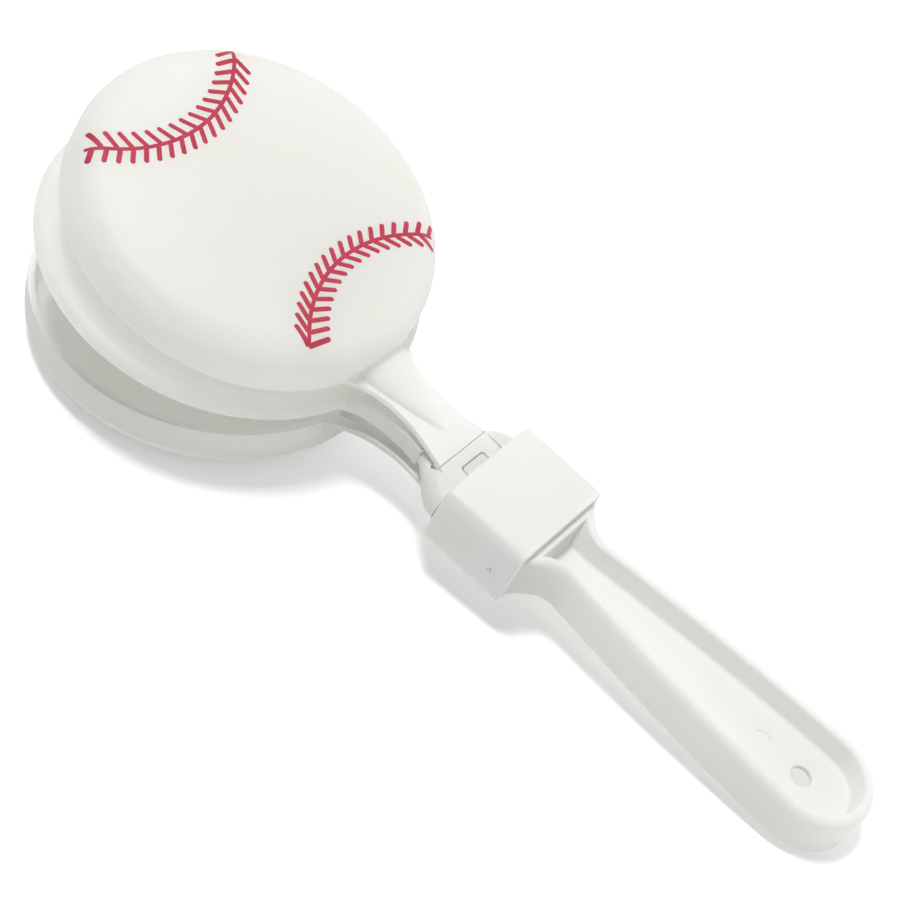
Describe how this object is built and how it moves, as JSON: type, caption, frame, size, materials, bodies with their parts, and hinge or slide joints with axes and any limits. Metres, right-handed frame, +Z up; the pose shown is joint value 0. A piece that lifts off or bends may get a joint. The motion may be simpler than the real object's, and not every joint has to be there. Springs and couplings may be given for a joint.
{
  "type": "hand clapper",
  "caption": "Round plastic hand clapper: a handled centre paddle between hinged cup shaped clappers, their slotted tongues hooked on a hub inside a rectangular collar.",
  "frame": {"origin": "on the table that the clapper lies on, under the middle of its length and width, at the lowest point of the rear cup's edge and of the handle's tip", "axes": "+X towards the handle's end, +Z up from the table, towards the front clapper"},
  "size_m": [0.2722, 0.1068, 0.0689],
  "materials": {
    "paddle_plastic": "white moulded plastic with a low sheen",
    "collar_plastic": "white moulded plastic with a low sheen",
    "front_clapper_plastic": "white moulded plastic with a low sheen and red stitching printed on the face",
    "rear_clapper_plastic": "white moulded plastic with a low sheen"
  },
  "bodies": {
    "handle": {"centre_paddle": "paddle_plastic", "collar": "collar_plastic"},
    "front": {"front_clapper": "front_clapper_plastic"},
    "rear": {"rear_clapper": "rear_clapper_plastic"}
  },
  "joints": [
    {"name": "front_swing", "type": "hinge", "parent": "handle", "child": "front", "pos_m": [0.00693, 0, 0.02597], "axis": [0, 1, 0], "range_deg": [-5.7, 11.3]},
    {"name": "rear_swing", "type": "hinge", "parent": "handle", "child": "rear", "pos_m": [0.00611, 0, 0.01902], "axis": [0, -1, 0], "range_deg": [-8.6, 8.4]}
  ]
}
